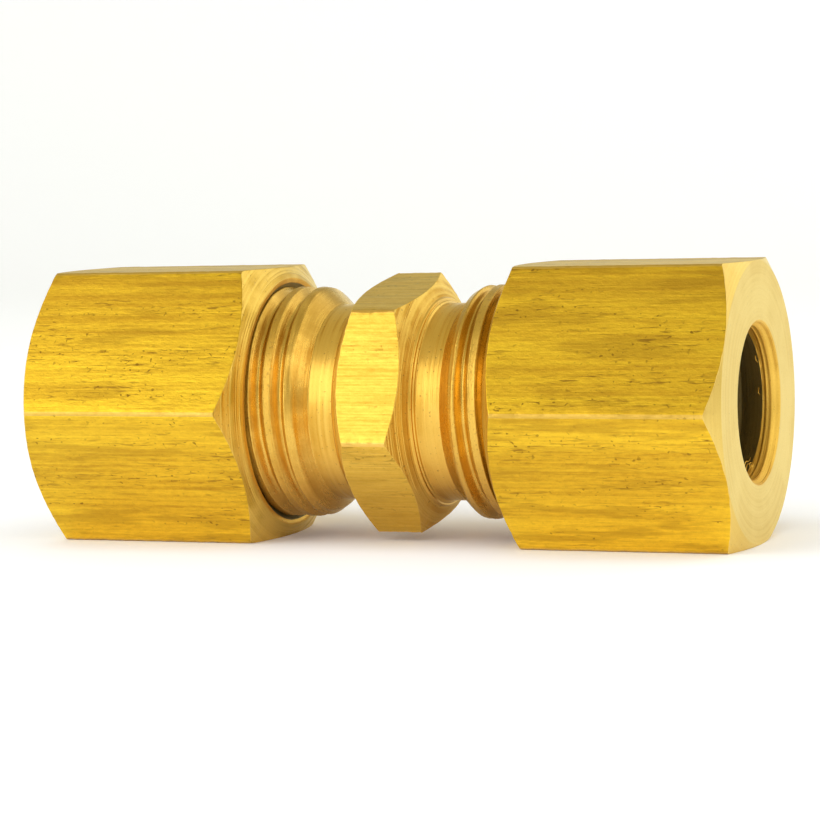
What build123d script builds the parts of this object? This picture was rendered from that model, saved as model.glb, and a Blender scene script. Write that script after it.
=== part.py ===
from build123d import *
import math
import os

# Compression union for 1/4 inch tube, in millimetres. X runs along the tubes, +Z is up, and the
# origin is the middle of the union body on the tube axis. Outward means away from that middle.

# threads, 7/16-24, right-handed
PITCH = 25.4 / 24
FLANK = math.tan(math.radians(30))
BODY_MAJOR_R = 5.42
BODY_MINOR_R = 4.80
BODY_CREST_W = 0.30
NUT_MAJOR_R = 5.52
NUT_MINOR_R = 5.04
THREAD_PLAY = 0.085      # gap along the axis between the flanks of body and nut
CREST_LEFT = 3.76        # distance out to a crest centre, measured on the side facing -Y
CREST_RIGHT = 4.09

# union body
BODY_AF = 10.75
BODY_ROLL = -13.55       # the body's hexagon is turned by this much from the nuts' hexagons
NECK_R = 4.57
HEX_LEFT = 1.87          # where the hexagon's end chamfers meet the neck
HEX_RIGHT = 2.09
SHOULDER_LEFT = 3.10     # where the neck ends and the cone up to the thread starts
SHOULDER_RIGHT = 3.30
SHOULDER_RUN = 0.83
COLLAR_LEFT = 3.97       # outer edge of the unthreaded collar
COLLAR_RIGHT = 4.32
BODY_END = 10.60
END_CHAMFER = 0.62
MOUTH_R = 4.10
SEAT_ANGLE = 12.0
SOCKET_R = 3.225
SOCKET_STOP = 2.20
PASSAGE_R = 2.40

# nuts
NUT_AF = 12.70
NUT_INNER = 5.80
NUT_OUTER = 16.84
CORNER_R = 0.20
OUTER_FACE_R = 6.33
INNER_FACE_R = 5.85
TUBE_HOLE_R = 3.43
TUBE_HOLE_LEN = 0.62
COUNTERSINK_R = 3.635
COUNTERSINK_DEPTH = 0.36
CAVITY_R = 4.45
NUT_SEAT_ANGLE = 45.0
CAVITY_LEN = 1.43
THREAD_IN = 0.60         # the open end's countersink, before the thread is full
NUT_LIP_R = 5.62
NUT_THREAD_LEN = 6.60

# ferrules
FERRULE_BORE_R = 3.215
FERRULE_R = 3.95
FERRULE_NOSE_R = 3.53
FERRULE_LEN = 6.33
FERRULE_IN = 8.07
FERRULE_TAIL_R = 3.55
BORE_EDGE = 0.12


def side_plane(side):
    """Local Z points outward along the tube on one side, local X points at -Y."""
    return Plane(origin=(0, 0, 0), x_dir=(0, -1, 0), z_dir=(side, 0, 0))


def turned(points):
    """Solid turned round local Z from (radius, distance out) corners."""
    face = Face(Wire.make_polygon([Vector(r, 0, z) for r, z in points], close=True))
    return revolve(face, Axis.Z, 360)


def helix_bar(start, turns, corners):
    """Bar with the given (radius, offset along the axis) section, wound right-handed round local Z."""
    path = Helix(pitch=PITCH, height=turns * PITCH, radius=BODY_MINOR_R).moved(Location((0, 0, start)))
    section = Face(Wire.make_polygon([Vector(r, 0, start + z) for r, z in corners], close=True))
    return sweep(section, path=path, is_frenet=True)


def hex_bar(across_flats, z0, z1, turn, corner_r):
    """Hexagonal bar along local Z with slightly rounded long edges."""
    outline = RegularPolygon(across_flats / 2, 6, major_radius=False)
    outline = fillet(outline.vertices(), corner_r)
    bar = extrude(outline, z1 - z0)
    return bar.moved(Location((0, 0, z0))).rotate(Axis.Z, turn)


def body_thread_groove(first_crest):
    """The groove of the external thread, wider than the thread at its top."""
    top_r = BODY_MAJOR_R + 0.2
    half_root = (PITCH - BODY_CREST_W) / 2 - (BODY_MAJOR_R - BODY_MINOR_R) * FLANK
    half_top = half_root + (top_r - BODY_MINOR_R) * FLANK
    corners = [(BODY_MINOR_R, half_root), (top_r, half_top), (top_r, -half_top), (BODY_MINOR_R, -half_root)]
    start = first_crest - PITCH / 2
    turns = math.ceil((BODY_END - start) / PITCH) + 1
    return helix_bar(start, turns, corners)


def threaded_end(shoulder, collar, first_crest):
    """One end of the body from the neck outward, before it is bored."""
    tip_r = BODY_MAJOR_R - END_CHAMFER
    envelope = turned([(0, 1.0), (NECK_R, 1.0), (NECK_R, shoulder), (BODY_MAJOR_R, shoulder + SHOULDER_RUN),
                       (BODY_MAJOR_R, BODY_END - END_CHAMFER * FLANK * 1.5), (tip_r, BODY_END),
                       (0, BODY_END)])
    blank = turned([(0, 1.0), (BODY_MAJOR_R, 1.0), (BODY_MAJOR_R, BODY_END + 4), (0, BODY_END + 4)])
    top = BODY_MAJOR_R + 0.3
    foot = collar + (BODY_MAJOR_R - BODY_MINOR_R) * FLANK * 1.1
    ring = turned([(0, 1.0), (top, 1.0), (top, collar - 0.3 * FLANK * 1.1),
                   (BODY_MINOR_R - 0.1, foot + 0.1 * FLANK), (0, foot + 0.1 * FLANK)])
    return ((blank - body_thread_groove(first_crest)) + ring) & envelope


def body_hexagon():
    """Middle hexagon with both ends chamfered down to the neck, along local Z of the right side."""
    reach = (BODY_AF / math.sqrt(3) - NECK_R) * FLANK + 0.3 * FLANK
    big_r = NECK_R + reach / FLANK
    limit = turned([(0, -HEX_LEFT), (NECK_R, -HEX_LEFT), (big_r, -HEX_LEFT + reach),
                    (big_r, HEX_RIGHT - reach), (NECK_R, HEX_RIGHT), (0, HEX_RIGHT)])
    return hex_bar(BODY_AF, -HEX_LEFT - 1, HEX_RIGHT + 1, -BODY_ROLL, CORNER_R) & limit


def mouth_and_socket():
    """What is bored out of one end: seat cone, tube socket and half of the through passage."""
    seat_end = BODY_END - (MOUTH_R - SOCKET_R) / math.tan(math.radians(SEAT_ANGLE))
    slope = (MOUTH_R - SOCKET_R) / (BODY_END - seat_end)
    return turned([(0, -0.01), (PASSAGE_R, -0.01), (PASSAGE_R, SOCKET_STOP), (SOCKET_R, SOCKET_STOP),
                   (SOCKET_R, seat_end), (MOUTH_R, BODY_END), (MOUTH_R + slope, BODY_END + 1),
                   (0, BODY_END + 1)])


def union_body():
    right = threaded_end(SHOULDER_RIGHT, COLLAR_RIGHT, CREST_RIGHT)
    left = threaded_end(SHOULDER_LEFT, COLLAR_LEFT, CREST_LEFT)
    shape = side_plane(1).location * (right + body_hexagon())
    shape = shape + side_plane(-1).location * left
    for side in (1, -1):
        shape = shape - side_plane(side).location * mouth_and_socket()
    return shape


def nut(side, body_crest):
    """A nut on one side. Its thread groove lies round the body's ridge with THREAD_PLAY each way."""
    bar = hex_bar(NUT_AF, NUT_INNER, NUT_OUTER, 0, CORNER_R)
    big_r = NUT_AF / math.sqrt(3) + 0.4
    outer_drop = (big_r - OUTER_FACE_R) * FLANK
    inner_drop = (big_r - INNER_FACE_R) * FLANK
    limit = turned([(0, NUT_INNER), (INNER_FACE_R, NUT_INNER), (big_r, NUT_INNER + inner_drop),
                    (big_r, NUT_OUTER - outer_drop), (OUTER_FACE_R, NUT_OUTER), (0, NUT_OUTER)])
    hole_in = NUT_OUTER - COUNTERSINK_DEPTH - TUBE_HOLE_LEN
    seat_in = hole_in - (CAVITY_R - TUBE_HOLE_R) / math.tan(math.radians(NUT_SEAT_ANGLE))
    cavity_in = seat_in - CAVITY_LEN
    thread_start = NUT_INNER + THREAD_IN
    inside = turned([(0, NUT_INNER - 1), (NUT_LIP_R, NUT_INNER - 1), (NUT_LIP_R, NUT_INNER),
                     (NUT_MINOR_R, thread_start), (NUT_MINOR_R, cavity_in - 0.4), (CAVITY_R, cavity_in),
                     (CAVITY_R, seat_in), (TUBE_HOLE_R, hole_in),
                     (TUBE_HOLE_R, NUT_OUTER - COUNTERSINK_DEPTH), (COUNTERSINK_R, NUT_OUTER),
                     (COUNTERSINK_R, NUT_OUTER + 1), (0, NUT_OUTER + 1)])
    half_top = BODY_CREST_W / 2 + THREAD_PLAY - (NUT_MAJOR_R - BODY_MAJOR_R) * FLANK
    half_foot = half_top + (NUT_MAJOR_R - NUT_MINOR_R + 0.05) * FLANK
    foot_r = NUT_MINOR_R - 0.05
    corners = [(foot_r - 0.2, half_foot), (foot_r, half_foot), (NUT_MAJOR_R, half_top),
               (NUT_MAJOR_R, -half_top), (foot_r, -half_foot), (foot_r - 0.2, -half_foot)]
    first = body_crest + PITCH * math.floor((NUT_INNER - 0.6 - body_crest) / PITCH)
    turns = round(NUT_THREAD_LEN / PITCH) + 1
    groove = helix_bar(first, turns, corners)
    return side_plane(side).location * ((bar & limit) - (inside + groove))


def ferrule(side):
    """Brass sleeve, thin nose inward in the body's mouth, blunt tail towards the nut's seat."""
    nose_run = (FERRULE_R - FERRULE_NOSE_R) / math.tan(math.radians(SEAT_ANGLE))
    out = FERRULE_IN + FERRULE_LEN
    shape = turned([(FERRULE_BORE_R + BORE_EDGE, FERRULE_IN), (FERRULE_NOSE_R, FERRULE_IN),
                    (FERRULE_R, FERRULE_IN + nose_run), (FERRULE_R, out - (FERRULE_R - FERRULE_TAIL_R)),
                    (FERRULE_TAIL_R, out), (FERRULE_BORE_R + BORE_EDGE, out),
                    (FERRULE_BORE_R, out - BORE_EDGE), (FERRULE_BORE_R, FERRULE_IN + BORE_EDGE)])
    return side_plane(side).location * shape


def write(name, shape):
    solid = shape if isinstance(shape, Solid) else shape.solids()[0]
    export_step(solid, "parts/" + name + ".step")


os.makedirs("parts", exist_ok=True)
write("union_body", union_body())
write("left_nut", nut(-1, CREST_LEFT))
write("right_nut", nut(1, CREST_RIGHT))
write("left_ferrule", ferrule(-1))
write("right_ferrule", ferrule(1))
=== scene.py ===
import bmesh
import bpy
import math
import numpy as np
from mathutils import Matrix, Vector


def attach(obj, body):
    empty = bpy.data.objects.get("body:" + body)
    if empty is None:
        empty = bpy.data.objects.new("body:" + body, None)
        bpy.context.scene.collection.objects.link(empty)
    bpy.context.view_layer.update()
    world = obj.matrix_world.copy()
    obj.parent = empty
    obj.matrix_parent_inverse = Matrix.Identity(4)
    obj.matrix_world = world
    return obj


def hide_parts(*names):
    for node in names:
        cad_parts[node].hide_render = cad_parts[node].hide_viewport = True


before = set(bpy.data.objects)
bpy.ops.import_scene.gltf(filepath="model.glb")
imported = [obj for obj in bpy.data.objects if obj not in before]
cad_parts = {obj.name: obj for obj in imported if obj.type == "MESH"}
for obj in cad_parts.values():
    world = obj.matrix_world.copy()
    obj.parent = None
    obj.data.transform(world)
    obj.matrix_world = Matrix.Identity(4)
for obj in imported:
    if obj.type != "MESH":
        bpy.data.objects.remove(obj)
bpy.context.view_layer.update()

MM = 0.001
TAN30 = math.tan(math.radians(30))
PITCH = 25.4 / 24

# millimetres; distances along the tubes are measured outward from the middle of the body
NUT_AF = 12.70
NUT_IN, NUT_OUT = 5.80, 16.84
NUT_LIP_R, INNER_FACE_R, OUTER_FACE_R = 5.62, 5.85, 6.33
NUT_THREAD_R, NUT_GROOVE, NUT_GROOVE_HALF = 5.04, 0.48, 0.177
THREAD_FROM, THREAD_FADES = 6.40, 12.9
HOLE_R, HOLE_IN = 3.43, 15.86
COUNTERSINK_R = 3.66
CAVITY_R, SEAT_IN, CAVITY_IN = 4.45, 14.84, 13.01

BODY_AF, BODY_ROLL = 10.75, -13.55
CORNER_R = 0.20
NECK, MAJOR = 4.57, 5.42
SHOULDER_RUN = 0.83
CREST_HALF, GROOVE_DEPTH = 0.155, 0.38
CREST_RIGHT, CREST_LEFT = 4.09, 3.76
BODY_END, TIP_RUN, TIP_DROP = 10.60, 0.537, 0.62
MOUTH_R, SOCKET_R, SOCKET_STOP, PASSAGE_R = 4.10, 3.225, 2.20, 2.40
SEAT_TAN = math.tan(math.radians(12))

FERRULE_R, FERRULE_NOSE_R, FERRULE_TAIL_R, FERRULE_BORE_R = 3.95, 3.53, 3.55, 3.215
FERRULE_IN, FERRULE_OUT = 8.07, 14.40
FERRULE_MIDDLE, BORE_EDGE = 11.2, 0.12

# points on a hexagon: steps round each corner, steps along each flat
NUT_STEPS = (6, 28)
BODY_STEPS = (5, 26)

# ------------------------------------------------------------------ shapes


def waves(a, seed, low, high, count=14):
    """Smooth seamless noise round a circle, about -1 to 1."""
    rng = np.random.RandomState(seed)
    out = np.zeros_like(a)
    for _ in range(count):
        k = rng.randint(low, high + 1)
        out += rng.uniform(0.4, 1.0) * np.sin(k * a + rng.uniform(0, 2 * math.pi))
    return out / math.sqrt(count)


def hexagon(across_flats, roll, corner_r, corner_n, flat_n):
    """Angles and radii of a hexagon with rounded corners, the first corner at roll degrees. Angle 0 is
    towards -Y, and 90 degrees is up."""
    apothem = across_flats / 2
    centre_r = (apothem - corner_r) / math.cos(math.radians(30))
    angles, radii = [], []
    for k in range(6):
        mid = math.radians(roll + 60 * k)
        c = np.array([centre_r * math.cos(mid), centre_r * math.sin(mid)])
        arc = []
        for t in np.linspace(-30, 30, corner_n + 1):
            d = mid + math.radians(t)
            arc.append(c + corner_r * np.array([math.cos(d), math.sin(d)]))
        nxt = mid + math.radians(60)
        c2 = np.array([centre_r * math.cos(nxt), centre_r * math.sin(nxt)])
        d2 = nxt - math.radians(30)
        end = c2 + corner_r * np.array([math.cos(d2), math.sin(d2)])
        even = np.linspace(0, 1, flat_n + 1)[1:-1]
        eased = 0.35 * (0.5 - 0.5 * np.cos(math.pi * even)) + 0.65 * even
        pts = arc + [arc[-1] * (1 - t) + end * t for t in eased]
        for p in pts:
            angles.append(math.atan2(p[1], p[0]))
            radii.append(math.hypot(p[0], p[1]))
    angles, radii = np.unwrap(np.array(angles)), np.array(radii)
    return np.append(angles, angles[0] + 2 * math.pi), np.append(radii, radii[0])


def run(points, bevels, counts, tags):
    """Rows of (r, z) along a profile whose corners are rounded. Each corner may vary round the part."""
    pts = [np.stack(np.broadcast_arrays(*p), -1).astype(float) for p in points]
    rows, kinds = [], []
    last = len(pts) - 1
    ends = []
    for i, p in enumerate(pts):
        if i in (0, last) or bevels[i] <= 0:
            ends.append((p, p))
            continue
        before, after = pts[i - 1] - p, pts[i + 1] - p
        lb = np.linalg.norm(before, axis=-1, keepdims=True)
        la = np.linalg.norm(after, axis=-1, keepdims=True)
        b = np.minimum(bevels[i], 0.4 * np.minimum(lb, la))
        ends.append((p + before / np.maximum(lb, 1e-9) * b, p + after / np.maximum(la, 1e-9) * b))
    for i in range(last):
        a, b = ends[i][1], ends[i + 1][0]
        n = counts[i]
        ts = np.linspace(0, 1, n + 1)
        if n >= 4:
            ts = np.concatenate([[0, 0.15 / n], ts[1:-1], [1 - 0.15 / n, 1]])
        for j, t in enumerate(ts):
            rows.append(a * (1 - t) + b * t)
            kinds.append(tags[i])
        if i + 1 < last and bevels[i + 1] > 0:
            p, q = ends[i + 1]
            c = pts[i + 1]
            for t in (0.33, 0.67):
                rows.append(p * (1 - t) ** 2 + c * 2 * t * (1 - t) + q * t ** 2)
                kinds.append(tags[i + 1])
    return rows, kinds


def helix_rows(angles, side, z0, z1, crest, table, tag, shape):
    """Rows that follow a right-hand thread between z0 and z1. table gives positions in the pitch from the
    crest centre; shape(z, phase, a) gives the radius."""
    turn = (angles - angles[0]) / (2 * math.pi)
    a0 = angles[0] / (2 * math.pi)
    rows, kinds = [], []
    first = math.floor((z0 - crest) / PITCH) - 2
    final = math.ceil((z1 - crest) / PITCH) + 2
    for k in range(first, final + 1):
        for s in table:
            raw = crest + (k + s) * PITCH - side * PITCH * (turn + a0)
            if raw.max() <= z0 or raw.min() >= z1:
                continue
            z = np.clip(raw, z0, z1)
            phase = np.mod((z - crest) / PITCH + side * (turn + a0) + 0.5, 1) - 0.5
            rows.append(np.stack([shape(z, phase, angles), z], -1))
            kinds.append(tag)
    z = np.full_like(angles, z0)
    phase = np.mod((z - crest) / PITCH + side * (turn + a0) + 0.5, 1) - 0.5
    rows.insert(0, np.stack([shape(z, phase, angles), z], -1))
    kinds.insert(0, tag)
    z = np.full_like(angles, z1)
    phase = np.mod((z - crest) / PITCH + side * (turn + a0) + 0.5, 1) - 0.5
    rows.append(np.stack([shape(z, phase, angles), z], -1))
    kinds.append(tag)
    return rows, kinds


def tube_mesh(name, angles, rows, kinds, side, looks, node, corners=None, extra=()):
    """A mesh from rows of (r, z) round the tube axis; z points outward on the given side. corners marks
    the columns on a hexagon's rounded edges. extra holds small (points, faces, tag) bits of the part."""
    r = np.array([row[:, 0] for row in rows])
    z = np.array([row[:, 1] for row in rows])
    a = np.broadcast_to(angles, r.shape)
    verts = np.stack([side * z, -r * np.cos(a), r * np.sin(a)], -1).reshape(-1, 3) * MM
    n, m = r.shape
    i, j = np.meshgrid(np.arange(n), np.arange(m - 1), indexing="ij")
    i2, j2 = (i + 1) % n, j + 1
    quads = np.stack([i * m + j, i * m + j2, i2 * m + j2, i2 * m + j], -1).reshape(-1, 4)
    if side < 0:
        quads = quads[:, ::-1]
    tags, materials = list(looks), list(looks.values())
    kind = np.array([tags.index(k) for k in kinds])
    slots = np.repeat(kind[:, None], m - 1, 1)
    if corners is not None:
        flat = (slots == tags.index("flat")) & corners[None, :]
        slots = np.where(flat, tags.index("edge"), slots)
    slots = slots.reshape(-1)
    d1 = np.linalg.norm(verts[quads[:, 0]] - verts[quads[:, 2]], axis=1)
    d2 = np.linalg.norm(verts[quads[:, 1]] - verts[quads[:, 3]], axis=1)
    cross = np.cross(verts[quads[:, 2]] - verts[quads[:, 0]], verts[quads[:, 3]] - verts[quads[:, 1]])
    area = np.linalg.norm(cross, axis=1)
    keep = (area > 1e-14) & (d1 > 1e-8) & (d2 > 1e-8)
    points, faces, slots = verts.tolist(), quads[keep].tolist(), slots[keep].tolist()
    for bits, sides, tag in extra:
        faces += [[v + len(points) for v in f] for f in sides]
        slots += [tags.index(tag)] * len(sides)
        points += bits
    mesh = bpy.data.meshes.new(name)
    mesh.from_pydata(points, [], faces)
    for mat in materials:
        mesh.materials.append(mat)
    mesh.polygons.foreach_set("material_index", np.array(slots, dtype=np.int32))
    mesh.polygons.foreach_set("use_smooth", np.ones(len(faces), dtype=bool))
    tidy_mesh(mesh)
    ob = bpy.data.objects.new(name, mesh)
    bpy.context.scene.collection.objects.link(ob)
    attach(ob, node)
    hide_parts(node)


def tidy_mesh(mesh):
    """Joins the seams and points every face outward."""
    bm = bmesh.new()
    bm.from_mesh(mesh)
    bmesh.ops.remove_doubles(bm, verts=bm.verts, dist=2e-7)
    loose = [v for v in bm.verts if not v.link_faces]
    bmesh.ops.delete(bm, geom=loose, context="VERTS")
    bmesh.ops.recalc_face_normals(bm, faces=bm.faces)
    bm.to_mesh(mesh)
    bm.free()


# ------------------------------------------------------------------ materials


class Graph:
    """Short names for building a node tree."""

    def __init__(self, name):
        self.mat = bpy.data.materials.new(name)
        self.mat.use_nodes = True
        self.tree = self.mat.node_tree
        self.bsdf = self.tree.nodes["Principled BSDF"]
        coord = self.node("ShaderNodeTexCoord").outputs["Object"]
        split = self.node("ShaderNodeSeparateXYZ")
        self.link(coord, split.inputs[0])
        self.x, self.y, self.z = split.outputs
        squares = [self.math("MULTIPLY", v, v) for v in (self.y, self.z)]
        self.radius = self.math("SQRT", self.math("ADD", *squares))
        self.ring = (self.x, self.radius, self.math("ADD", self.y, self.z))

    def node(self, kind, **values):
        n = self.tree.nodes.new(kind)
        for k, v in values.items():
            setattr(n, k, v)
        return n

    def link(self, a, b):
        self.tree.links.new(a, b)

    def put(self, sock, v):
        """Sets a socket to a number or a colour, or links it."""
        if isinstance(v, (int, float)):
            sock.default_value = v
        elif isinstance(v, tuple):
            sock.default_value = (*v, 1.0)
        else:
            self.link(v, sock)

    def math(self, op, a, b=None, clamp=False):
        n = self.node("ShaderNodeMath", operation=op, use_clamp=clamp)
        self.put(n.inputs[0], a)
        if b is not None:
            self.put(n.inputs[1], b)
        return n.outputs[0]

    def add(self, *terms):
        """Weighted sum of (socket, weight) pairs."""
        total = None
        for sock, w in terms:
            part = self.math("MULTIPLY", sock, w)
            total = part if total is None else self.math("ADD", total, part)
        return total

    def noise(self, sx, sy, sz, detail=3, rough=0.6, source=None, shift=0.0):
        """Noise at these frequencies, in cycles per mm along each direction."""
        comb = self.node("ShaderNodeCombineXYZ")
        for sock, v, f in zip(comb.inputs, source or (self.x, self.y, self.z), (sx, sy, sz)):
            self.link(self.math("ADD", self.math("MULTIPLY", v, 1000.0 * f), shift), sock)
        n = self.node("ShaderNodeTexNoise")
        n.inputs["Scale"].default_value = 1.0
        n.inputs["Detail"].default_value = detail
        n.inputs["Roughness"].default_value = rough
        self.link(comb.outputs[0], n.inputs["Vector"])
        return n.outputs["Fac"]

    def ramp(self, value, lo, hi):
        n = self.node("ShaderNodeMapRange", interpolation_type="SMOOTHSTEP")
        self.link(value, n.inputs["Value"])
        n.inputs["From Min"].default_value = lo
        n.inputs["From Max"].default_value = hi
        return n.outputs["Result"]

    def mix(self, fac, a, b):
        """Blend of two colours, by the Mix node's colour sockets."""
        n = self.node("ShaderNodeMix", data_type="RGBA")
        self.put(n.inputs["Factor"], fac)
        self.put(n.inputs[6], a)
        self.put(n.inputs[7], b)
        return n.outputs[2]

    def underside(self, tone, amount, painted_shade=(0.46, 0.23, 0.045)):
        """Painted shade: darker and browner towards the bottom of the part."""
        if not amount:
            return tone
        low = self.ramp(self.math("MULTIPLY", self.z, -1000.0), 1.0, 4.6)
        return self.mix(self.math("MULTIPLY", low, amount), tone, painted_shade)

    def done(self, tone, rough, height, bump):
        b = self.bsdf
        b.inputs["Metallic"].default_value = 1.0
        b.inputs["Specular Tint"].default_value = (0.93, 1.0, 0.92, 1.0)
        self.put(b.inputs["Base Color"], tone)
        self.put(b.inputs["Roughness"], rough)
        n = self.node("ShaderNodeBump")
        n.inputs["Strength"].default_value = 1.0
        n.inputs["Distance"].default_value = bump * MM
        self.link(height, n.inputs["Height"])
        self.link(n.outputs["Normal"], b.inputs["Normal"])
        return self.mat


def drawn(name, bright, dark, rough, bump, dirt, band=0.5, line=0.40, pitch=5.0, under_shade=0.0, top=0.0):
    """Flats of drawn hexagon bar: mottled skin, soft die lines and bands, clustered dashes, small pits and
    smudges, and where asked for painted shade: a darker, browner underside and a patchy band near the top
    edge."""
    g = Graph(name)
    mottle = g.noise(2.6, 6.5, 6.5, 2, 0.6)
    lines = g.noise(0.06, pitch, pitch, 5, 0.65, shift=2)
    streaks = g.noise(0.7, 9, 9, 3, 0.6, shift=31)
    bands = g.noise(0.02, 0.62, 0.62, 4, 0.55, shift=7)
    grain = g.noise(14, 14, 14, 2, 0.6)
    cloud = g.ramp(g.noise(0.13, 1.0, 1.0, 3, 0.6, shift=17), 0.44, 0.62)
    dash = g.ramp(g.noise(1.1, 9, 9, 2, 0.6, shift=3), 0.53, 0.72)
    smudge = g.ramp(g.noise(0.20, 1.5, 1.5, 4, 0.6, shift=53), 0.49, 0.64)
    pits = g.ramp(g.noise(5.0, 6.2, 6.2, 0, 0.5, shift=11), 0.70, 0.82)
    dirtmap = g.math("ADD", g.math("MULTIPLY", cloud, 0.85), 0.15)
    dash = g.math("MULTIPLY", dash, dirtmap)
    pits = g.math("MULTIPLY", pits, dirtmap)
    marks = g.add((g.ramp(bands, 0.40, 0.62), band), (g.ramp(mottle, 0.36, 0.66), 0.26),
                  (g.ramp(lines, 0.38, 0.62), line), (g.ramp(streaks, 0.36, 0.70), 0.18),
                  (g.ramp(grain, 0.3, 0.7), 0.12))
    marks = g.math("MULTIPLY", marks, 0.76, clamp=True)
    tone = g.mix(marks, bright, dark)
    # painted shade: darker and browner towards the bottom
    tone = g.underside(tone, under_shade, (0.52, 0.30, 0.04))
    if top:
        # painted shade, patchy, on the upper part of the sloping flats; the level flat on top, at NUT_AF / 2,
        # is left out
        height_mm = g.math("MULTIPLY", g.z, 1000.0)
        rim = g.math("MULTIPLY", g.ramp(height_mm, 4.3, 6.0), g.math("LESS_THAN", height_mm, 6.33))
        patchy = g.ramp(g.noise(0.10, 1.9, 1.9, 4, 0.6, shift=41), 0.36, 0.60)
        tone = g.mix(g.math("MULTIPLY", g.math("MULTIPLY", rim, patchy), top), tone, (0.46, 0.24, 0.02))
    tone = g.mix(g.math("MULTIPLY", smudge, dirt * 0.55), tone, (0.46, 0.25, 0.02))
    tone = g.mix(g.math("MULTIPLY", dash, dirt), tone, (0.34, 0.18, 0.02))
    tone = g.mix(g.math("MULTIPLY", pits, dirt), tone, (0.27, 0.14, 0.015))
    height = g.add((mottle, 0.70), (lines, 0.55), (streaks, 0.50), (grain, 0.35))
    return g.done(tone, g.math("ADD", g.add((marks, 0.12), (grain, 0.10)), rough - 0.08), height, bump)


def turned(name, bright, dark, rough, bump, arcs=0.5, dirt=0.5, under_shade=0.0):
    """Turned surface: fine rings, faint broader tool bands, a few specks, and where asked for a darker,
    browner underside that is painted shade."""
    g = Graph(name)
    fine = g.noise(13, 13, 0.10, 3, 0.65, g.ring)
    rings = g.noise(5.5, 5.5, 0.07, 2, 0.5, g.ring, 5)
    patch = g.ramp(g.noise(0.45, 0.45, 0.45, 2, 0.5, shift=9), 0.35, 0.62)
    grain = g.noise(13, 13, 13, 2, 0.6)
    pits = g.ramp(g.noise(6.5, 6.5, 6.5, 1, 0.5, shift=13), 0.70, 0.76)
    cuts = g.math("MULTIPLY", g.ramp(rings, 0.42, 0.60), g.math("ADD", g.math("MULTIPLY", patch, 0.8), 0.2))
    marks = g.add((patch, 0.18), (g.ramp(fine, 0.35, 0.70), 0.24), (cuts, arcs),
                  (g.ramp(grain, 0.3, 0.7), 0.16))
    marks = g.math("MULTIPLY", marks, 0.85, clamp=True)
    tone = g.mix(marks, bright, dark)
    # painted shade: darker and browner towards the bottom
    tone = g.underside(tone, under_shade)
    tone = g.mix(g.math("MULTIPLY", pits, dirt), tone, (0.26, 0.13, 0.03))
    height = g.add((fine, 0.6), (cuts, 1.6 * arcs), (grain, 0.25), (pits, -0.5))
    return g.done(tone, g.math("ADD", g.add((marks, 0.10), (grain, 0.10)), rough - 0.06), height, bump)


def cut_thread(name, bright, dark, rough, bump):
    """Cut thread: smooth flanks with chatter along the helix, torn and grainy crests, and painted shade:
    patchy dark brown towards the top and a darker, browner underside."""
    g = Graph(name)
    fine = g.noise(13, 13, 0.20, 3, 0.6, g.ring)
    broad = g.noise(1.2, 1.2, 1.2, 3, 0.6, shift=4)
    torn = g.noise(10, 10, 10, 3, 0.7, shift=8)
    crest = g.ramp(g.radius, 5.33 * MM, 5.39 * MM)
    near_crest = g.math("ADD", g.math("MULTIPLY", crest, 0.8), 0.12)
    specks = g.math("MULTIPLY", g.ramp(g.noise(8, 8, 8, 1, 0.5, shift=19), 0.60, 0.70), near_crest)
    marks = g.add((g.ramp(broad, 0.38, 0.68), 0.45), (g.ramp(fine, 0.35, 0.7), 0.40),
                  (g.ramp(torn, 0.4, 0.7), 0.20))
    tone = g.mix(g.math("MULTIPLY", marks, 0.9, clamp=True), bright, dark)
    # painted shade: patchy dark brown towards the top of the thread, standing in for shadow in the grooves
    upper = g.ramp(g.math("MULTIPLY", g.z, 1000.0), 0.5, 4.5)
    painted_shade = g.math("MULTIPLY", g.ramp(g.noise(0.5, 0.6, 0.6, 2, 0.5, shift=23), 0.36, 0.62), upper)
    tone = g.mix(g.math("MULTIPLY", painted_shade, 0.55), tone, (0.46, 0.26, 0.035))
    tone = g.mix(g.math("MULTIPLY", crest, 0.45), tone, (0.80, 0.50, 0.09))
    # painted shade: darker and browner towards the bottom
    tone = g.underside(tone, 0.60)
    tone = g.mix(g.math("MULTIPLY", specks, 0.45), tone, (0.40, 0.20, 0.04))
    height = g.add((fine, 0.5), (g.math("MULTIPLY", torn, g.math("ADD", crest, 0.15)), 1.6), (specks, -0.2))
    return g.done(tone, g.math("ADD", g.add((marks, 0.10), (crest, 0.06)), rough - 0.04), height, bump)


NUT_LOOKS = {
    # the nuts' flats carry patchy painted shade near the top edge
    "flat": drawn("nut_drawn_flats", (0.99, 0.655, 0.042), (0.64, 0.365, 0.025), rough=0.36, bump=0.015,
                  dirt=0.90, band=0.52, line=0.45, top=0.50),
    "edge": drawn("nut_worn_edges", (0.84, 0.555, 0.115), (0.62, 0.37, 0.05), rough=0.40, bump=0.022,
                  dirt=0.45, band=0.3),
    "turn": turned("nut_turned_ends", (0.895, 0.645, 0.180), (0.74, 0.49, 0.11), rough=0.37, bump=0.006,
                   arcs=0.26, dirt=0.15),
    "inner": turned("nut_inner_chamfers", (0.88, 0.60, 0.125), (0.60, 0.36, 0.045), rough=0.31, bump=0.016,
                    arcs=0.80, dirt=0.3),
    "bore": turned("nut_bore", (1.00, 0.66, 0.125), (0.68, 0.37, 0.05), rough=0.50, bump=0.016,
                   arcs=0.9, dirt=0.4),
    # painted shade: a dark, dull colour for the cavity, seat and inner thread
    "inside": turned("nut_inside_painted_shade", (0.46, 0.40, 0.20), (0.32, 0.27, 0.13), rough=0.60, bump=0.010,
                     arcs=0.5, dirt=0.4),
}
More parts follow.
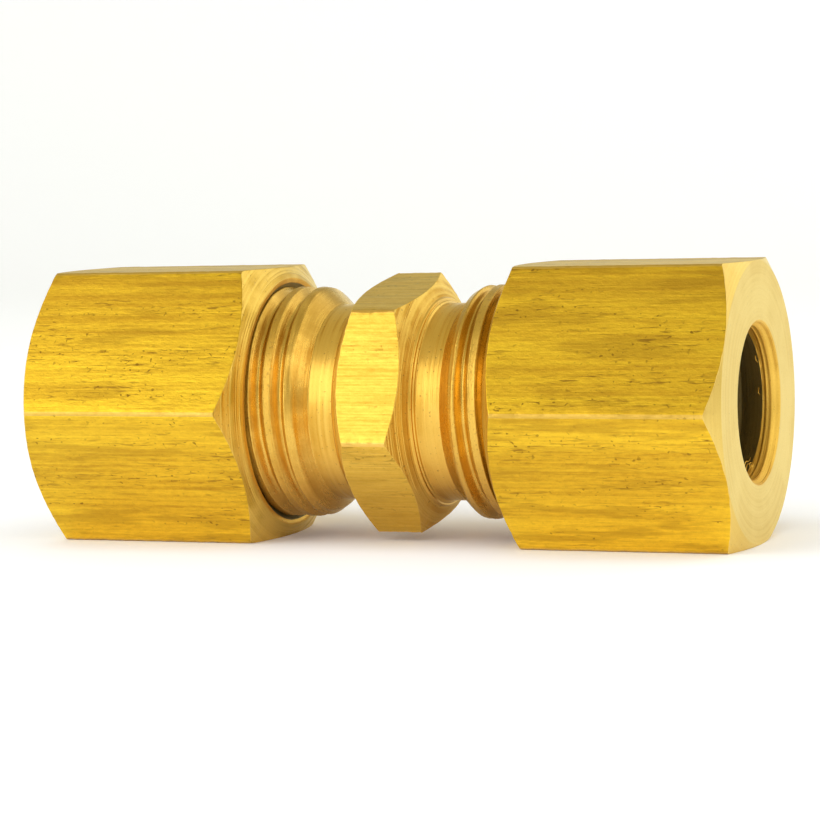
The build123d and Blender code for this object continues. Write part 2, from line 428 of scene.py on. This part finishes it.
# painted shade: the lower parts of the body's flats, chamfers and turned faces are darker and browner
BODY_LOOKS = {
    "flat": drawn("body_drawn_flats", (0.97, 0.66, 0.105), (0.72, 0.42, 0.045), rough=0.32, bump=0.016,
                  dirt=0.55, band=0.16, line=0.62, pitch=10.0, under_shade=0.55),
    "edge": drawn("body_worn_edges", (0.95, 0.62, 0.15), (0.82, 0.48, 0.08), rough=0.32, bump=0.012,
                  dirt=0.25, band=0.2),
    "cone": turned("body_hexagon_chamfers", (0.98, 0.70, 0.16), (0.74, 0.43, 0.06), rough=0.50, bump=0.020,
                   arcs=0.80, under_shade=0.45),
    "turn": turned("body_turned", (0.90, 0.565, 0.110), (0.70, 0.385, 0.05), rough=0.30, bump=0.009,
                   arcs=0.70, under_shade=0.45),
    "thread": cut_thread("body_thread", (0.88, 0.555, 0.110), (0.64, 0.35, 0.05), rough=0.29, bump=0.014),
}
FERRULE_LOOKS = {
    "turn": turned("ferrule_turned", (0.90, 0.64, 0.20), (0.72, 0.45, 0.10), rough=0.30, bump=0.004,
                   arcs=0.4),
}

# ------------------------------------------------------------------ nuts


def worn_corners(rows, kinds, a, seed):
    """Small dents and waviness along the six long edges."""
    rng = np.random.RandomState(seed)
    sixth = math.pi / 3
    near = np.maximum(0, 1 - np.abs(np.mod(a + sixth / 2, sixth) - sixth / 2) / 0.045)
    corner = np.floor(np.mod(a + sixth / 2, 2 * math.pi) / sixth).astype(int) % 6
    freq = rng.uniform(0.6, 9.0, (6, 16))
    phase = rng.uniform(0, 2 * math.pi, (6, 16))
    size = rng.uniform(0.3, 1.0, (6, 16)) / np.sqrt(freq)
    for row, kind in zip(rows, kinds):
        if kind != "flat":
            continue
        z = row[:, 1]
        wave = (np.sin(freq[corner] * z[:, None] * 2 + phase[corner]) * size[corner]).sum(1) / 3
        row[:, 0] -= near * np.clip(0.016 + 0.022 * wave, 0, 0.07)


# start angle, how far it reaches into the hole, and how far it curls round
CHIPS = ((-1.50, 0.62, -0.55), (-1.72, 0.40, -0.30), (-2.15, 0.24, 0.22), (3.02, 0.34, 0.10),
         (2.55, 0.16, 0.10))


def shavings(side, seed):
    """Hair-thin curled chips left at the inner edge of the tube hole."""
    rng = np.random.RandomState(seed)
    bits = []
    n = 9
    for a0, reach, curl in CHIPS:
        points, faces = [], []
        for i in range(n):
            t = i / (n - 1)
            a = a0 + curl * t ** 0.7 + rng.uniform(-0.01, 0.01)
            r = 3.45 - reach * math.sin(math.pi * min(t, 0.72))
            z = 15.90 + 0.10 * t + rng.uniform(-0.01, 0.01)
            w = 0.034 * (1 - 0.7 * t)
            for dr, dz in ((w, 0), (0, w), (-w, 0), (0, -w)):
                far = r + dr
                points.append((side * (z + dz) * MM, -far * math.cos(a) * MM, far * math.sin(a) * MM))
        for i in range(n - 1):
            for k in range(4):
                faces.append((4 * i + k, 4 * i + (k + 1) % 4, 4 * i + 4 + (k + 1) % 4, 4 * i + 4 + k))
        faces += [(3, 2, 1, 0), (4 * n - 4, 4 * n - 3, 4 * n - 2, 4 * n - 1)]
        bits.append((points, faces, "bore"))
    return bits


def corner_columns(count, steps):
    """True for the columns of faces that lie on a hexagon's rounded corners."""
    return np.arange(count) % sum(steps) < steps[0]


def nut(name, side, body_crest, node, seed):
    """A nut: hexagon with both ends chamfered, threaded open end, cavity, seat and countersunk tube hole."""
    a, rho = hexagon(NUT_AF, 0.0, CORNER_R, *NUT_STEPS)
    corners = corner_columns(len(a) - 1, NUT_STEPS)
    one = np.ones_like(a)
    ragged = 0.5 * waves(a, seed, 20, 70) + 0.5 * waves(a, seed + 1, 3, 14)
    burr = 0.10 * np.maximum(ragged, 0) ** 1.5
    torn_in = 0.13 + 0.08 * np.cos(2 * a) - 0.02 * np.sin(a) ** 4 + 0.02 * ragged
    chewed = 0.012 * waves(a, seed + 3, 30, 110)
    lip = 0.010 * waves(a, seed + 2, 8, 60)
    pts = [
        (NUT_THREAD_R * one, THREAD_FROM * one), (NUT_LIP_R + lip, NUT_IN * one),
        (INNER_FACE_R + lip, NUT_IN * one),
        (rho, NUT_IN + (rho - INNER_FACE_R) * TAN30 + chewed),
        (rho, NUT_OUT - (rho - OUTER_FACE_R) * TAN30 + chewed),
        (OUTER_FACE_R * one, NUT_OUT * one), (COUNTERSINK_R + 0.010 * ragged, NUT_OUT * one),
        (3.44 * one, 16.50 * one), (HOLE_R * one, 16.36 * one),
        (3.405 * one, 16.26 * one), (3.435 * one, 16.15 * one), (3.41 * one, 16.07 * one),
        (3.41 - burr, HOLE_IN + torn_in),
        (CAVITY_R * one, SEAT_IN * one), (CAVITY_R * one, 13.41 * one), (NUT_THREAD_R * one, CAVITY_IN * one),
    ]
    bevels = [0, 0.06, 0.06, 0.03, 0.03, 0.03, 0.08, 0.06, 0.04, 0.03, 0.04, 0.03, 0.01, 0.05, 0.06, 0]
    counts = [5, 3, 8, 70, 8, 12, 5, 3, 3, 3, 3, 3, 5, 4, 3]
    tags = ["inside", "bore", "inner", "flat", "turn", "turn"] + ["bore"] * 6 + ["inside"] * 3
    rows, kinds = run(pts, bevels, counts, tags)
    worn_corners(rows, kinds, a, seed + 5)

    def shape(z, phase, ang):
        d = np.abs(phase) * PITCH
        depth = np.clip((NUT_GROOVE_HALF + NUT_GROOVE * TAN30 - d) / (NUT_GROOVE * TAN30), 0, 1)
        fade = np.clip((THREAD_FADES - z) / 0.5, 0, 1) * np.clip((z - THREAD_FROM) / 0.02, 0, 1)
        return NUT_THREAD_R + NUT_GROOVE * depth * fade

    table = [-0.46, -0.43, -0.36, -0.26, -0.17, 0.0, 0.17, 0.26, 0.36, 0.43]
    trows, tkinds = helix_rows(a, side, THREAD_FROM, CAVITY_IN, body_crest, table, "inside", shape)
    rows += trows[::-1][1:-1]
    kinds += tkinds[::-1][1:-1]
    tube_mesh(name, a, rows, kinds, side, NUT_LOOKS, node, corners, shavings(side, seed))


nut("right_nut_finish", 1, CREST_RIGHT, "right_nut", 11)
nut("left_nut_finish", -1, CREST_LEFT, "left_nut", 37)

# ------------------------------------------------------------------ union body


def thread_shape(shoulder, fade0, fade1, seed):
    """Cone from the neck, then broad rounded grooves between crests with torn edges. The grooves are 0.38 mm
    deep at most, where the CAD cuts them straight-sided and 0.62 mm deep."""
    def shape(z, phase, ang):
        t = (z - shoulder) / SHOULDER_RUN
        soft = 0.5 * (t + 1 - np.sqrt((t - 1) ** 2 + 0.012))
        rise = NECK + (MAJOR - 0.012 - NECK) * np.clip(soft, 0, 1)
        d = np.abs(phase) * PITCH
        u = np.clip((d - CREST_HALF) / (0.5 * PITCH - CREST_HALF), 0, 1)
        groove = GROOVE_DEPTH * (0.5 - 0.5 * np.cos(math.pi * u ** 0.85))
        fade = np.clip((z - fade0) / (fade1 - fade0), 0, 1)
        fade = fade * fade * (3 - 2 * fade)
        torn = 0.5 + 0.5 * waves(ang + 0.9 * z, seed, 40, 140)
        edge = np.exp(-((d - 0.145) / 0.028) ** 2) * np.clip(torn, 0, 1.2)
        partial = 0.10 * np.exp(-(d / 0.16) ** 2)
        partial = partial * np.clip((z - shoulder) / 0.2, 0, 1) * np.clip((shoulder + 0.75 - z) / 0.25, 0, 1)
        on = np.clip((z - shoulder - 0.6) / 0.3, 0, 1)
        wobble = 0.006 * waves(ang - 0.4 * z, seed + 3, 5, 22) * on
        r = rise - groove * fade + 0.020 * edge * on + partial + wobble - 0.008 * on
        tip = MAJOR - (z - (BODY_END - TIP_RUN)) / TIP_RUN * TIP_DROP
        return np.minimum(np.minimum(r, MAJOR), np.maximum(tip, MOUTH_R))
    return shape


# per side: distance out to the hexagon's foot, the shoulder and a crest, where the grooves start and where
# they are full, and a seed
HALVES = {
    1: (2.09, 3.30, CREST_RIGHT, 4.20, 4.45, 5),
    -1: (1.87, 3.10, CREST_LEFT, 3.85, 4.22, 8),
}
FINE_THREAD_TO = 6.2


def union_body():
    """The body: hexagon, chamfers, necks, threaded ends, and the bore right through."""
    a, rho = hexagon(BODY_AF, BODY_ROLL, CORNER_R, *BODY_STEPS)
    corners = corner_columns(len(a) - 1, BODY_STEPS)
    chewed = 0.010 * waves(a, 77, 30, 110)
    one = np.ones_like(a)
    halves = {}
    half = [0.05, 0.09, 0.12, 0.138, 0.155, 0.18, 0.21, 0.25, 0.30, 0.35, 0.40, 0.45]
    fine = [-0.5] + [-s for s in half[::-1]] + [0.0] + half
    coarse = [-0.5, -0.42, -0.34, -0.26, -0.20, -0.15, -0.08, 0.0, 0.08, 0.15, 0.20, 0.26, 0.34, 0.42]
    for side, (foot, shoulder, crest, fade0, fade1, seed) in HALVES.items():
        pts = [
            (rho, 0 * one), (rho, foot - (rho - NECK) * TAN30 + chewed), (4.86 * one, foot - 0.29 * TAN30),
            (4.80 * one, (foot - 0.05) * one), (4.70 * one, (foot - 0.05) * one),
            (4.66 * one, (foot + 0.02) * one), (NECK * one, (foot + 0.07) * one),
            (NECK * one, shoulder * one),
        ]
        bevels = [0, 0.03, 0.02, 0.02, 0.02, 0.02, 0.05, 0]
        rows, kinds = run(pts, bevels, [16, 9, 2, 2, 2, 2, 5], ["flat", "cone"] + ["turn"] * 5)
        worn_corners(rows, kinds, a - math.radians(BODY_ROLL), seed + 40)
        shape = thread_shape(shoulder, fade0, fade1, seed)
        trows, tkinds = helix_rows(a, side, shoulder, FINE_THREAD_TO, crest, fine, "thread", shape)
        crows, ckinds = helix_rows(a, side, FINE_THREAD_TO, BODY_END, crest, coarse, "thread", shape)
        rows += trows[1:] + crows[1:]
        kinds += tkinds[1:] + ckinds[1:]
        seat_end = BODY_END - (MOUTH_R - SOCKET_R) / SEAT_TAN
        pts = [
            (crows[-1][:, 0], BODY_END * one), (MOUTH_R * one, BODY_END * one),
            (SOCKET_R * one, seat_end * one), (SOCKET_R * one, SOCKET_STOP * one),
            (PASSAGE_R * one, SOCKET_STOP * one), (PASSAGE_R * one, 0 * one),
        ]
        brows, bkinds = run(pts, [0, 0.05, 0.05, 0.05, 0.05, 0], [4, 6, 5, 3, 3], ["turn"] * 5)
        halves[side] = (rows + brows[1:], kinds + bkinds[1:])
    right_rows, right_kinds = halves[1]
    left_rows, left_kinds = halves[-1]
    flipped = [np.stack([row[:, 0], -row[:, 1]], -1) for row in left_rows]
    rows = right_rows + flipped[::-1][1:-1]
    kinds = right_kinds + left_kinds[::-1][1:-1]
    tube_mesh("union_body_finish", a, rows, kinds, 1, BODY_LOOKS, "union_body", corners)


union_body()

# ------------------------------------------------------------------ ferrules


def ferrule(name, side, node):
    """A sleeve with a tapered nose inward and a short bevelled tail outward."""
    a = np.linspace(0, 2 * math.pi, 97)
    one = np.ones_like(a)
    nose = (FERRULE_R - FERRULE_NOSE_R) / SEAT_TAN
    edge_r = FERRULE_BORE_R + BORE_EDGE
    tail = FERRULE_OUT - (FERRULE_R - FERRULE_TAIL_R)
    pts = [
        (FERRULE_BORE_R, FERRULE_MIDDLE), (FERRULE_BORE_R, FERRULE_IN + BORE_EDGE), (edge_r, FERRULE_IN),
        (FERRULE_NOSE_R, FERRULE_IN), (FERRULE_R, FERRULE_IN + nose), (FERRULE_R, tail),
        (FERRULE_TAIL_R, FERRULE_OUT), (edge_r, FERRULE_OUT), (FERRULE_BORE_R, FERRULE_OUT - BORE_EDGE),
        (FERRULE_BORE_R, FERRULE_MIDDLE),
    ]
    pts = [(r * one, z * one) for r, z in pts]
    bevels = [0, 0.02, 0.02, 0.04, 0.15, 0.06, 0.04, 0.02, 0.02, 0]
    rows, kinds = run(pts, bevels, [3, 2, 2, 5, 6, 3, 2, 2, 3], ["turn"] * 9)
    tube_mesh(name, a, rows[:-1], kinds[:-1], side, FERRULE_LOOKS, node)


ferrule("right_ferrule_finish", 1, "right_ferrule")
ferrule("left_ferrule_finish", -1, "left_ferrule")

# ------------------------------------------------------------------ stage, light, camera


def plain(name, colour, rough):
    mat = bpy.data.materials.new(name)
    mat.use_nodes = True
    b = mat.node_tree.nodes["Principled BSDF"]
    b.inputs["Base Color"].default_value = (*colour, 1.0)
    b.inputs["Roughness"].default_value = rough
    return mat


def backdrop():
    """Pale floor that curves up behind."""
    z0 = -NUT_AF / 2 * MM
    prof = [(-0.6, 0.0), (0.25, 0.0)]
    for i in range(1, 13):
        t = i / 12 * math.pi / 2
        prof.append((0.25 + 0.15 * math.sin(t), 0.15 * (1 - math.cos(t))))
    verts, faces = [], []
    for x in (-0.55, 0.55):
        verts += [(x, y, z0 + z) for y, z in prof]
    n = len(prof)
    for i in range(n - 1):
        faces.append((i, n + i, n + i + 1, i + 1))
    mesh = bpy.data.meshes.new("backdrop")
    mesh.from_pydata(verts, [], faces)
    paper = plain("pale_paper", (0.93, 0.93, 0.94), 0.8)
    glow = paper.node_tree.nodes["Principled BSDF"]
    glow.inputs["Emission Color"].default_value = (0.75, 0.82, 1.0, 1.0)
    glow.inputs["Emission Strength"].default_value = 0.08
    mesh.materials.append(paper)
    for p in mesh.polygons:
        p.use_smooth = True
    ob = bpy.data.objects.new("backdrop", mesh)
    bpy.context.scene.collection.objects.link(ob)


backdrop()


def dark_flag():
    """Small matt card standing to the right of the camera. It is only seen in reflections."""
    points = []
    for azimuth in (58, 64, 70, 76, 82):
        t = math.radians(azimuth)
        for z in (-0.0062, 0.024):
            points.append((0.10 * math.sin(t), -0.10 * math.cos(t), z))
    faces = [(2 * i, 2 * i + 2, 2 * i + 3, 2 * i + 1) for i in range(4)]
    mesh = bpy.data.meshes.new("dark_flag")
    mesh.from_pydata(points, [], faces)
    mesh.materials.append(plain("flag_card", (0.22, 0.17, 0.06), 0.9))
    ob = bpy.data.objects.new("dark_flag", mesh)
    bpy.context.scene.collection.objects.link(ob)
    ob.visible_camera = False
    ob.visible_shadow = False


dark_flag()


def softbox(name, azimuth, elevation, distance, size_x, size_y, power, colour=(1, 1, 1)):
    """Area light aimed at the part. Azimuth 0 is towards -Y and 90 towards +X."""
    light = bpy.data.lights.new(name, "AREA")
    light.shape = "RECTANGLE"
    light.size, light.size_y = size_x, size_y
    light.energy = power
    light.color = colour
    ob = bpy.data.objects.new(name, light)
    bpy.context.scene.collection.objects.link(ob)
    a, e = math.radians(azimuth), math.radians(elevation)
    d = Vector((math.sin(a) * math.cos(e), -math.cos(a) * math.cos(e), math.sin(e)))
    ob.location = d * distance
    ob.rotation_euler = d.to_track_quat("Z", "Y").to_euler()
    return ob


# azimuth and elevation in degrees, then distance and both sides in metres, then watts
softbox("key_left", -45, 21.5, 0.45, 0.50, 0.38, 0.85)
softbox("fill_right", 72, 28, 0.45, 0.36, 0.30, 0.34)
softbox("back_right", 132, 34, 0.40, 0.42, 0.26, 0.27)
floor_light = softbox("floor_light", -10, 62, 0.50, 0.70, 0.60, 1.65, (0.86, 0.95, 1.15))
floor_light.visible_glossy = False

world = bpy.data.worlds.new("studio")
world.use_nodes = True
world.node_tree.nodes["Background"].inputs["Color"].default_value = (1.0, 0.96, 0.74, 1.0)
world.node_tree.nodes["Background"].inputs["Strength"].default_value = 0.58
bpy.context.scene.world = world
bpy.context.scene.view_settings.view_transform = "Standard"


def camera():
    """Telephoto view from the front right, a little above the tube axis."""
    az, el, roll = math.radians(21.74), math.radians(4.78), math.radians(-1.66)
    back = Vector((math.sin(az) * math.cos(el), -math.cos(az) * math.cos(el), math.sin(el)))
    right = Vector((math.cos(az), math.sin(az), 0.0))
    up = back.cross(right)
    right2 = right * math.cos(roll) + up * math.sin(roll)
    up2 = up * math.cos(roll) - right * math.sin(roll)
    target = Vector((0.077, 0.0, -0.402)) * MM
    distance = 137.73
    cam = bpy.data.cameras.new("camera")
    cam.lens = 129.69
    cam.sensor_width = 36.0
    cam.clip_start = 0.01
    cam.clip_end = 10.0
    ob = bpy.data.objects.new("camera", cam)
    bpy.context.scene.collection.objects.link(ob)
    m = Matrix((right2, up2, back)).transposed().to_4x4()
    m.translation = target + back * distance * MM
    ob.matrix_world = m
    bpy.context.scene.camera = ob


camera()
